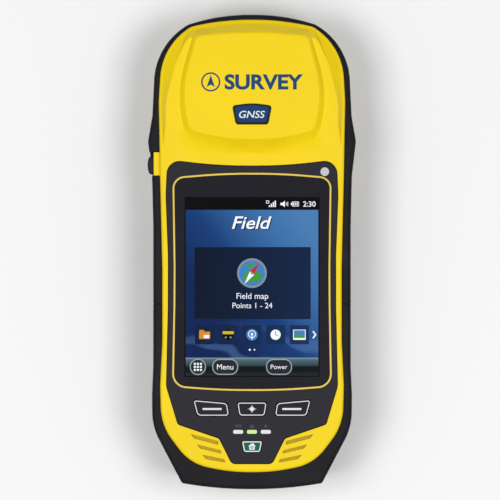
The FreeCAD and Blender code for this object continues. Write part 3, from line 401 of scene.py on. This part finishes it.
class Layer:
    """Thin flat shapes at one level, in millimetres: print, a lamp, or what the display shows."""

    def __init__(self, base, step=0, thick=THIN):
        self.shape = bmesh.new()
        self.low = base + step * THIN * MM
        self.thick = thick * MM

    def thicken(self, faces):
        """Gives flat faces their thickness."""
        grown = bmesh.ops.extrude_face_region(self.shape, geom=faces)["geom"]
        top = [item for item in grown if isinstance(item, bmesh.types.BMVert)]
        bmesh.ops.translate(self.shape, vec=(0, 0, self.thick), verts=top)
        return self

    def raise_face(self, face, rim):
        """Thickens a face, or only a rim of it where the rim has a width."""
        if not rim:
            return self.thicken([face])
        edge = bmesh.ops.inset_region(self.shape, faces=[face], thickness=rim * MM, use_boundary=True,
                                      use_even_offset=True)["faces"]
        bmesh.ops.delete(self.shape, geom=[face], context="FACES")
        return self.thicken(edge)

    def plate(self, corners, radius=0.0, rim=0.0):
        """A flat shape from its corners, which a radius rounds."""
        verts = [self.shape.verts.new((x * MM, y * MM, self.low)) for x, y in corners]
        face = self.shape.faces.new(verts)
        if radius:
            bent = bmesh.ops.bevel(self.shape, geom=verts, offset=radius * MM, offset_type="OFFSET",
                                   segments=6, profile=0.5, affect="VERTICES", material=-1)
            face = max((f for v in bent["verts"] for f in v.link_faces), key=lambda f: f.calc_area())
        return self.raise_face(face, rim)

    def tile(self, middle, width, height, radius=0.0, rim=0.0):
        """An upright rectangle by its middle and size."""
        x, y = middle
        w, h = width / 2, height / 2
        return self.plate([(x - w, y - h), (x + w, y - h), (x + w, y + h), (x - w, y + h)], radius, rim)

    def disc(self, middle, radius, rim=0.0):
        """A round shape, or a ring where the rim has a width."""
        place = Matrix.Translation((middle[0] * MM, middle[1] * MM, self.low))
        made = bmesh.ops.create_circle(self.shape, cap_ends=True, radius=radius * MM, segments=48,
                                       matrix=place)
        return self.raise_face(made["verts"][0].link_faces[0], rim)

    def bar(self, start, end, width):
        """A straight strip between two points."""
        run = (Vector(end) - Vector(start)).normalized() * width / 2
        aside = Vector((-run.y, run.x))
        ends = (Vector(start) + aside, Vector(start) - aside, Vector(end) - aside, Vector(end) + aside)
        return self.plate([tuple(point) for point in ends])

    def words(self, text, middle, wide, tall=None, lean=0.0, heavy=0.0):
        """Lettering fitted to a width, and to a height where one is given."""
        flat = lettering(text, lean, heavy)
        old = set(self.shape.verts)
        self.shape.from_mesh(flat)
        bpy.data.meshes.remove(flat)
        doubled = [v for v in self.shape.verts if v not in old]
        bmesh.ops.remove_doubles(self.shape, verts=doubled, dist=1e-5)
        verts = [v for v in self.shape.verts if v not in old]
        low = Vector([min(v.co[i] for v in verts) for i in range(3)])
        high = Vector([max(v.co[i] for v in verts) for i in range(3)])
        grow = wide * MM / (high.x - low.x)
        rise = tall * MM / (high.y - low.y) if tall else grow
        place = Matrix.Translation((middle[0] * MM, middle[1] * MM, self.low))
        fitted = place @ Matrix.Diagonal((grow, rise, 1, 1)) @ Matrix.Translation(-(low + high) / 2)
        bmesh.ops.transform(self.shape, matrix=fitted, verts=verts)
        return self.thicken(list({f for v in verts for f in v.link_faces}))

    def done(self, name, finish, body="housing"):
        return piece_from(self.shape, name, finish, body)


def softened(node, name, finish, body, width):
    """A copy of a CAD piece with smooth curved faces, and rounded edges where a width is given."""
    shape = bmesh.new()
    shape.from_mesh(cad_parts[node].data)
    bmesh.ops.remove_doubles(shape, verts=shape.verts, dist=2e-6)
    bmesh.ops.dissolve_limit(shape, angle_limit=math.radians(0.6), verts=shape.verts, edges=shape.edges)
    mesh = bpy.data.meshes.new(name)
    shape.to_mesh(mesh)
    shape.free()
    mesh.materials.append(finishes[finish].material)
    made = bpy.data.objects.new(name, mesh)
    STUDIO.collection.objects.link(made)
    mesh.shade_smooth()
    if width:
        round_over = made.modifiers.new("round_over", "BEVEL")
        round_over.width = width * MM
        round_over.segments = 2
        round_over.limit_method = "ANGLE"
        round_over.angle_limit = EDGE_ANGLE
        round_over.use_clamp_overlap = True
    mesh.set_sharp_from_angle(angle=CREASE_ANGLE)
    even = made.modifiers.new("even_normals", "WEIGHTED_NORMAL")
    even.keep_sharp = True
    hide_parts(node)
    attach(made, body)
    return made


# ---------------------------------------------------------------- the shell, bumpers and keys

# The CAD pieces whose edges are rounded: the node, the new piece, its finish, its body and the
# width of its rounding in millimetres.
ROUNDED_PIECES = (
    ("front_case", "front_shell", "yellow", "housing", 0.3),
    ("rear_case", "rear_shell", "yellow", "housing", 0.25),
    ("rear_cover", "accessory_cover", "yellow", "housing", 0.25),
    ("head_bumper", "head_overmould", "rubber", "housing", 0.5),
    ("base_bumper", "base_overmould", "rubber", "housing", 0.5),
    ("rear_pads", "resting_pads", "rubber", "housing", 0.3),
    ("screen_bezel", "bezel_frame", "bezel", "housing", 0.15),
    ("screen_trim", "bright_trim", "trim", "housing", 0.12),
    ("badge_plate", "badge_base", "badge_rim", "housing", 0.08),
    ("left_soft_key", "left_key", "keys", "left_soft_key", 0.08),
    ("action_key", "centre_key", "keys", "action_key", 0.08),
    ("right_soft_key", "right_key", "keys", "right_soft_key", 0.08),
    ("home_key", "green_home_key", "home", "home_key", 0.08),
    ("power_button", "side_power_button", "battery", "power_button", 0.2),
    ("card_door", "side_card_door", "rubber", "card_door", 0.3),
    ("port_cover", "base_port_cover", "rubber", "port_cover", 0.3),
    ("antenna_cap", "rear_antenna_cap", "rubber", "antenna_cap", 0.3),
    ("left_latch", "left_latch_slider", "battery", "left_latch", 0.2),
    ("right_latch", "right_latch_slider", "battery", "right_latch", 0.2),
    ("battery_case", "battery_tray", "battery", "battery", 0.3),
)
for node, name, finish, body, width in ROUNDED_PIECES:
    softened(node, name, finish, body, width)

# The latch springs, which shorten as the latches are drawn back, get smooth copies, each with a mesh of its
# own.
for side in ("left", "right"):
    spring = softened(f"{side}_latch_spring", f"{side}_coil_spring", "steel", "housing", 0)
    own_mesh(spring)

# ---------------------------------------------------------------- key legends and print

SOFT_KEY = [(12.2, -74.25), (28.96, -72.7), (26.9, -80.65), (11.2, -80.65)]
ACTION_KEY = [(-7.35, -73.85), (7.35, -73.85), (6.3, -80.65), (-6.3, -80.65)]
HOME_KEY = [(-5.0, -93.0), (5.0, -93.0), (3.9, -98.4), (-3.9, -98.4)]
BADGE = [(-9.7, 71.6), (0.0, 72.9), (9.7, 71.6), (7.9, 62.4), (-7.9, 62.4)]


def drawn_in(corners, amount):
    """An outline's corners moved towards its middle, so that it loses the amount on each side."""
    x = sum(corner[0] for corner in corners) / len(corners)
    y = sum(corner[1] for corner in corners) / len(corners)
    across = 1 - amount / max(abs(corner[0] - x) for corner in corners)
    along = 1 - amount / max(abs(corner[1] - y) for corner in corners)
    return [(x + (a - x) * across, y + (b - y) * along) for a, b in corners]


def spike(step, across, along, name):
    """One of the two crossed lozenges on the star's disc, by its half width and half length."""
    y = LEGEND_ALONG
    corners = [(0, y + along), (across, y), (0, y - along), (-across, y)]
    Layer(KEY_TOP, step).plate(corners).done(name, "legend", "action_key")


LINE = 0.42
INSET = 0.25
LEGEND_ALONG = -77.2
for sign, name in ((-1, "left"), (1, "right")):
    corners = [(sign * x, y) for x, y in SOFT_KEY]
    legend = Layer(KEY_TOP).plate(drawn_in(corners, INSET), 1.4, LINE)
    legend.tile((sign * 19.6, LEGEND_ALONG), 9.4, 0.95, 0.15)
    legend.done(f"{name}_key_legend", "legend", f"{name}_soft_key")

star = Layer(KEY_TOP).plate(drawn_in(ACTION_KEY, INSET), 1.3, LINE)
star.disc((0, LEGEND_ALONG), 1.1).done("centre_key_legend", "legend", "action_key")
spike(1, 0.45, 2.2, "centre_key_upright")
spike(2, 2.2, 0.45, "centre_key_cross")

# The little house: its walls, eaves, chimney and ridge.
HOUSE = [(-1.3, -97.2), (1.3, -97.2), (1.3, -95.6), (1.9, -95.6), (0.9, -94.6), (0.9, -94.1), (0.5, -94.1),
         (0.5, -94.4), (0, -94.0), (-1.9, -95.6), (-1.3, -95.6)]
house = Layer(KEY_TOP).plate(drawn_in(HOME_KEY, 0.12), 0.9, 0.5).plate(HOUSE)
house.done("home_key_legend", "white_print", "home_key")
Layer(KEY_TOP, 1).disc((0, -96.0), 0.72, 0.34).done("home_key_ring", "home", "home_key")

# The word on the dome, with its north arrow in a ring, and the badge.
WORD_ALONG = 83.2
Layer(DOME_TOP).words("SURVEY", (5.8, WORD_ALONG), 38.4, 7.6, heavy=0.034).done("dome_word", "blue_print")
arrow = Layer(DOME_TOP).disc((-20.2, WORD_ALONG), 4.7, 0.75)
arrow.plate([(-20.2, 86.6), (-18.2, 80.7), (-20.2, 81.9), (-22.2, 80.7)])
arrow.done("dome_north_arrow", "blue_print")
Layer(BADGE_TOP).plate(drawn_in(BADGE, 1.1), 1.1).done("badge_face", "badge")
badge_word = Layer(BADGE_TOP, 1).words("GNSS", (0, 67.3), 12.6, 3.5, lean=0.2, heavy=0.006)
badge_word.done("badge_word", "white_print")

# The darker yellow at the bottom of each speaker groove: a thin mesh whose colour is painted shade of the
# recess.
GROOVE_DEEP = 1.5
MESH_THICK = 0.25
GROOVES = (
    [(16.7, -92.9), (30.2, -89.4), (28.5, -91.7), (16.5, -94.9)],
    [(15.6, -97.4), (27.2, -94.5), (25.6, -96.6), (14.7, -99.2)],
    [(13.7, -101.8), (24.5, -99.6), (22.7, -101.8), (13.0, -103.6)],
)
for sign, side in ((-1, "left"), (1, "right")):
    mesh = Layer(FRAME_FACE - GROOVE_DEEP * MM, thick=MESH_THICK)
    for corners in GROOVES:
        mesh.plate([(sign * x, y) for x, y in corners], 0.2)
    mesh.done(f"{side}_groove_mesh", "groove")

# Faint symbols over the three status lights: a battery, a dot in a ring and a triangle.
marks = Layer(BEZEL_TOP)
marks.tile((-6.8, -85.4), 2.6, 1.1, 0.2, 0.25).tile((-5.2, -85.4), 0.3, 0.5)
marks.disc((0, -85.9), 0.35).disc((0, -85.9), 0.9, 0.22)
marks.plate([(6.0, -86.0), (7.6, -86.0), (6.8, -84.7)])
marks.done("status_symbols", "faint_print")

# ---------------------------------------------------------------- what the display shows

VIEW_MIDDLE = (VIEW_LEFT + VIEW_RIGHT) / 2
VIEW_WIDE = VIEW_RIGHT - VIEW_LEFT
DARK_EDGE = 0.6  # what the display's dark edge adds on each side


def band(step, low, high, name, finish, spare=0.0):
    """A strip over the display's full width."""
    strip = Layer(GLASS_TOP, step).tile((VIEW_MIDDLE, (low + high) / 2), VIEW_WIDE + 2 * spare, high - low)
    strip.done(name, finish)


band(0, VIEW_LOW - DARK_EDGE, VIEW_HIGH + DARK_EDGE, "display_edge", "shown_edge", DARK_EDGE)
band(1, MENU_HIGH, STATUS_LOW, "display_background", "wallpaper")
band(1, VIEW_LOW, MENU_HIGH, "display_menu", "menu_bar")

# The status bar: signal, loudspeaker, battery and clock.
STATUS_ALONG = 23.6
status = Layer(GLASS_TOP, 1)
for count in range(4):
    tall = 0.9 + 0.75 * count
    status.tile((8.6 + 0.95 * count, 22.1 + tall / 2), 0.62, tall)
status.tile((7.7, 24.6), 1.5, 1.5, 0.2, 0.3)
status.plate([(14.0, 23.0), (15.0, 23.0), (16.2, 22.0), (16.2, 25.2), (15.0, 24.2), (14.0, 24.2)])
status.bar((16.9, 22.9), (16.9, 24.3), 0.3).bar((17.6, 22.5), (17.6, 24.7), 0.3)
status.tile((21.4, STATUS_ALONG), 3.4, 2.4, 0.3, 0.3).tile((19.4, STATUS_ALONG), 0.5, 1.2)
for count in range(3):
    status.tile((20.5 + 0.85 * count, STATUS_ALONG), 0.5, 1.3)
status.words("2:30", (28.2, STATUS_ALONG), 6.2, heavy=0.01)
status.done("status_bar_icons", "shown_white")

# The title and its shadow.
title_shadow = Layer(GLASS_TOP, 2).words("Field", (0.35, 14.0), 19.5, 6.2, lean=0.25, heavy=0.02)
title_shadow.done("title_shadow", "shown_shadow")
title_word = Layer(GLASS_TOP, 3).words("Field", (-0.1, 14.4), 19.5, 6.2, lean=0.25, heavy=0.012)
title_word.done("title_word", "shown_white")

PANEL = (0.25, -15.3)
Layer(GLASS_TOP, 2).tile(PANEL, 57.2, 35.4, 0.3).done("app_panel_rim", "shown_shadow")
Layer(GLASS_TOP, 3).tile(PANEL, 56.4, 34.6, 0.3).done("app_panel", "app_tile")

# The application's dial: land and water under a compass needle.
DIAL = (0.0, -10.4)
DIAL_ROUND = 7.3
Layer(GLASS_TOP, 4).disc(DIAL, DIAL_ROUND).done("dial_water", "shown_blue")
Layer(GLASS_TOP, 5).disc(DIAL, DIAL_ROUND, 1.0).done("dial_rim", "shown_grey")
MAINLAND = [(-4.8, -13.2), (-1.4, -15.2), (3.6, -14.4), (5.2, -11.4), (2.4, -9.4), (0.2, -11.0),
            (-2.6, -9.0)]
ISLAND = [(-3.8, -7.0), (-0.4, -5.6), (1.8, -6.6), (-0.6, -8.2)]
Layer(GLASS_TOP, 5).plate(MAINLAND, 0.9).plate(ISLAND, 0.6).done("dial_land", "shown_green")


def needle(step, tip, name, finish):
    """Half of the dial's needle, from its middle to one tip."""
    run = Vector(tip).normalized()
    aside = Vector((-run.y, run.x)) * 1.35
    corners = [(DIAL[0] + x, DIAL[1] + y) for x, y in (tip, tuple(aside), tuple(-aside))]
    Layer(GLASS_TOP, step).plate(corners).done(name, finish)


needle(6, (3.7, 5.4), "needle_north", "shown_red")
needle(6, (-3.7, -5.4), "needle_south", "shown_white")
Layer(GLASS_TOP, 7).disc(DIAL, 0.7).done("needle_pivot", "shown_grey")
Layer(GLASS_TOP, 4).words("Field map", (0.2, -22.1), 15.6).done("app_name", "shown_white")
Layer(GLASS_TOP, 4).words("Points 1 - 24", (0.2, -26.3), 19.6).done("app_detail", "shown_white")

# The row of small applications, by where each stands across the display.
ROW_ALONG = -40.7
FOLDER, LEVEL, BEACON, CLOCK, PICTURE = -23.3, -11.7, 0.0, 11.6, 23.3
tiles = Layer(GLASS_TOP, 2)
for across in (FOLDER, LEVEL, BEACON, CLOCK, PICTURE):
    tiles.tile((across, ROW_ALONG), 9.4, 9.4, 0.4)
tiles.done("icon_tiles", "icon_tile")

folder = Layer(GLASS_TOP, 3)
folder.tile((FOLDER, ROW_ALONG - 0.3), 5.4, 3.6, 0.3)
folder.tile((FOLDER - 1.4, ROW_ALONG + 1.95), 2.4, 0.8, 0.2).done("folder_icon", "shown_orange")
Layer(GLASS_TOP, 4).tile((FOLDER + 0.9, ROW_ALONG - 0.9), 2.6, 1.5, 0.2).done("folder_sheet", "shown_white")

Layer(GLASS_TOP, 3).disc((LEVEL, ROW_ALONG), 2.7).done("level_icon", "shown_edge")
Layer(GLASS_TOP, 4).tile((LEVEL, ROW_ALONG + 1.0), 5.6, 1.5, 0.7).done("level_icon_tube", "shown_yellow")
feet = Layer(GLASS_TOP, 4).disc((LEVEL - 1.2, ROW_ALONG - 1.3), 0.5)
feet.disc((LEVEL + 1.2, ROW_ALONG - 1.3), 0.5).done("level_icon_feet", "shown_grey")

Layer(GLASS_TOP, 3).disc((BEACON, ROW_ALONG), 2.8).done("beacon_icon", "shown_blue")
beacon = Layer(GLASS_TOP, 4)
beacon.disc((BEACON, ROW_ALONG + 0.3), 1.9, 0.35).disc((BEACON, ROW_ALONG + 0.3), 0.6)
beacon.bar((BEACON, ROW_ALONG - 2.3), (BEACON, ROW_ALONG), 0.5).done("beacon_icon_waves", "shown_white")

Layer(GLASS_TOP, 3).disc((CLOCK, ROW_ALONG), 2.5).done("clock_icon", "shown_white")
hands = Layer(GLASS_TOP, 4).bar((CLOCK, ROW_ALONG), (CLOCK, ROW_ALONG + 1.7), 0.3)
hands.bar((CLOCK, ROW_ALONG), (CLOCK + 1.1, ROW_ALONG - 0.4), 0.3).done("clock_icon_hands", "shown_shadow")

Layer(GLASS_TOP, 3).tile((PICTURE, ROW_ALONG), 6.2, 5.0, 0.2).done("picture_icon", "shown_white")
Layer(GLASS_TOP, 4).tile((PICTURE, ROW_ALONG + 0.3), 5.4, 3.8).done("picture_icon_sky", "shown_blue")
SKYLINE = [(-2.7, -1.6), (2.7, -1.6), (2.7, -0.6), (1.2, 0.3), (-0.2, -0.5), (-1.6, 0.6), (-2.7, -0.2)]
hills = Layer(GLASS_TOP, 5).plate([(PICTURE + across, ROW_ALONG + rise) for across, rise in SKYLINE])
hills.done("picture_icon_hills", "shown_green")

# The arrow to the next applications, and the two dots that count them.
more = Layer(GLASS_TOP, 2)
more.plate([(29.7, -39.2), (30.2, -38.7), (31.7, -40.7), (30.2, -42.7), (29.7, -42.2), (30.8, -40.7)])
more.disc((-1.1, -48.1), 0.5).disc((1.2, -48.1), 0.4)
more.done("page_marks", "shown_white")

# The menu bar: a round button with nine squares, and two pills with their names.
MENU_ALONG = -56.5
GRID_ACROSS = -26.6
GRID_PITCH = 1.5
buttons = Layer(GLASS_TOP, 2).disc((GRID_ACROSS, MENU_ALONG), 4.0)
rims = Layer(GLASS_TOP, 3).disc((GRID_ACROSS, MENU_ALONG), 4.0, 0.5)
names = Layer(GLASS_TOP, 3)
for across, word, wide in ((-13.2, "Menu", 8.0), (13.3, "Power", 8.2)):
    buttons.tile((across, MENU_ALONG), 12.8, 7.8, 3.6)
    rims.tile((across, MENU_ALONG), 12.8, 7.8, 3.6, 0.5)
    names.words(word, (across, MENU_ALONG), wide)
for row in (-1, 0, 1):
    for column in (-1, 0, 1):
        names.tile((GRID_ACROSS + GRID_PITCH * column, MENU_ALONG + GRID_PITCH * row), 1.0, 1.0, 0.15)
buttons.done("menu_buttons", "button_dark")
rims.done("menu_button_rims", "button_rim")
names.done("menu_names", "shown_white")

# ---------------------------------------------------------------- camera, floor and light

FLOOR_HALF = 3.0
floor = bmesh.new()
bmesh.ops.create_grid(floor, x_segments=1, y_segments=1, size=FLOOR_HALF)
floor_mesh = bpy.data.meshes.new("studio_floor")
floor.to_mesh(floor_mesh)
floor.free()
floor_piece = bpy.data.objects.new("studio_floor", floor_mesh)
STUDIO.collection.objects.link(floor_piece)

# Pale paper above, and clear from below, so that the back can be seen through it.
pale = Finish("studio_paper")
pale.put(Base_Color=pale.ramp(pale.noise(3.0), (0.3, (0.95, 0.95, 0.95, 1)), (0.7, (0.96, 0.96, 0.96, 1))))
pale.put(Roughness=0.9)
under = pale.node("ShaderNodeMixShader", Fac=pale.node("ShaderNodeNewGeometry").outputs["Backfacing"])
pale.feed(pale.shader.outputs["BSDF"], under.inputs[1])
pale.feed(pale.node("ShaderNodeBsdfTransparent").outputs["BSDF"], under.inputs[2])
pale.feed(under.outputs["Shader"], pale.nodes["Material Output"].inputs["Surface"])
floor_mesh.materials.append(pale.material)

# The camera looks straight down from well above, so that the sides hardly show.
CAMERA_HIGH = 1.449
FRONT_LEVEL = 0.049
SHOWN_WIDE = 0.2458
SENSOR_WIDE = 36.0
camera = bpy.data.cameras.new("studio_camera")
camera_holder = bpy.data.objects.new("studio_camera", camera)
STUDIO.collection.objects.link(camera_holder)
camera_holder.location = (-0.98 * MM, 0.97 * MM, CAMERA_HIGH)
camera.lens = SENSOR_WIDE * (CAMERA_HIGH - FRONT_LEVEL) / SHOWN_WIDE
camera.sensor_width = SENSOR_WIDE
camera.clip_start = 0.05
STUDIO.camera = camera_holder


def softbox(name, place, power):
    """A square area light that faces the middle of the object."""
    light = bpy.data.lights.new(name, "AREA")
    light.size = 0.5
    light.energy = power
    holder = bpy.data.objects.new(name, light)
    holder.location = place
    holder.rotation_euler = (Vector((0, 0, 0.03)) - Vector(place)).to_track_quat("-Z", "Y").to_euler()
    STUDIO.collection.objects.link(holder)


softbox("left_softbox", (-0.48, -0.1, 1.28), 7.4)
softbox("right_softbox", (0.48, -0.1, 1.28), 7.1)

world = bpy.data.worlds.new("studio_world")
world.use_nodes = True
sky = world.node_tree.nodes["Background"]
sky.inputs["Color"].default_value = WHITE
sky.inputs["Strength"].default_value = 0.3
STUDIO.world = world
